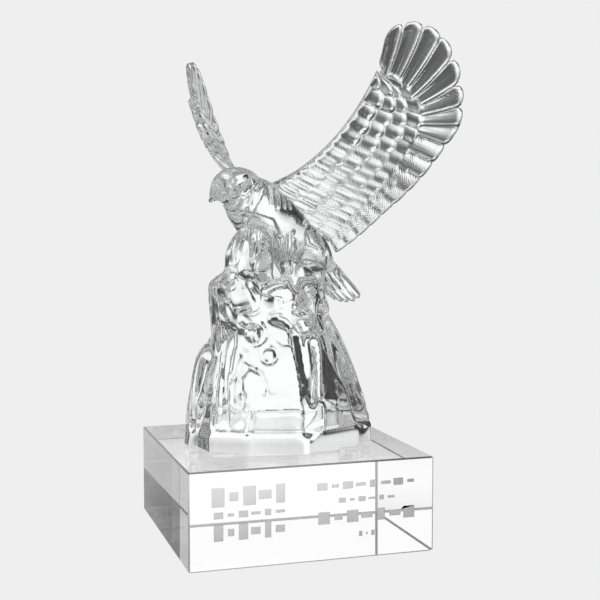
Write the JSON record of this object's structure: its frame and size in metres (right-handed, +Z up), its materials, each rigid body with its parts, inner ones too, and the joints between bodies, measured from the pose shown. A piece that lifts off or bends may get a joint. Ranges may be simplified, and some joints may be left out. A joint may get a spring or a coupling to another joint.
{
  "type": "eagle trophy",
  "caption": "Clear glass trophy: an eagle with raised wings standing on a fluted rock, cast in one piece, on a square polished block with an engraved front face.",
  "frame": {"origin": "centre of the block's underside", "axes": "+Z up, -Y the engraved front face, +X to the right seen from the front; the bird heads to the left of the front"},
  "size_m": [0.1394, 0.1986, 0.2693],
  "materials": {
    "polished_block": "clear optical glass, polished, engraved panel ground matt",
    "cast_glass": "clear cast glass, fire polished, fine relief"
  },
  "bodies": {
    "root": {"base_block": "polished_block", "eagle_on_rock": "cast_glass"}
  },
  "joints": []
}
